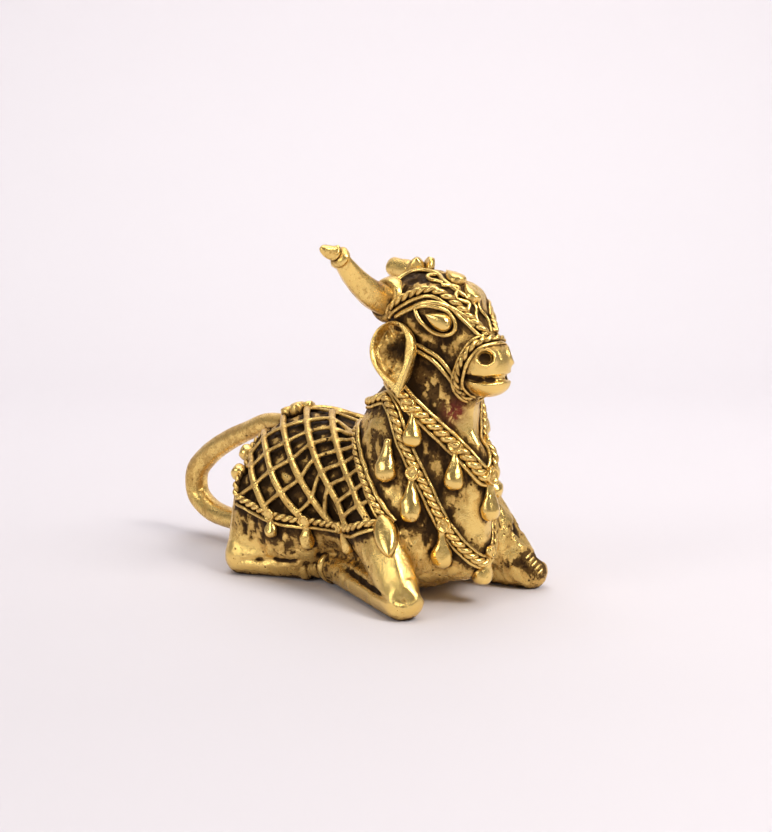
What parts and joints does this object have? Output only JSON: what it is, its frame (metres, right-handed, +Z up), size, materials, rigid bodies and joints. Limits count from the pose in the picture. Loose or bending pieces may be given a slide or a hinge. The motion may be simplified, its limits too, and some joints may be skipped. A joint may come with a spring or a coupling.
{
  "type": "reclining bull figure",
  "caption": "Cast brass figure of a reclining humped bull with a net saddle cloth, rope necklaces with drops, a raised head and a looped tail.",
  "frame": {"origin": "on the table, under the middle of the figure's bounding box", "axes": "+X forward, the way the bull faces, +Y to the bull's own left, +Z up"},
  "size_m": [0.129, 0.06, 0.094],
  "materials": {
    "brass": "polished high spots over a dark brown patina in the recesses"
  },
  "bodies": {
    "root": {"nandi_bull": "brass"}
  },
  "joints": []
}
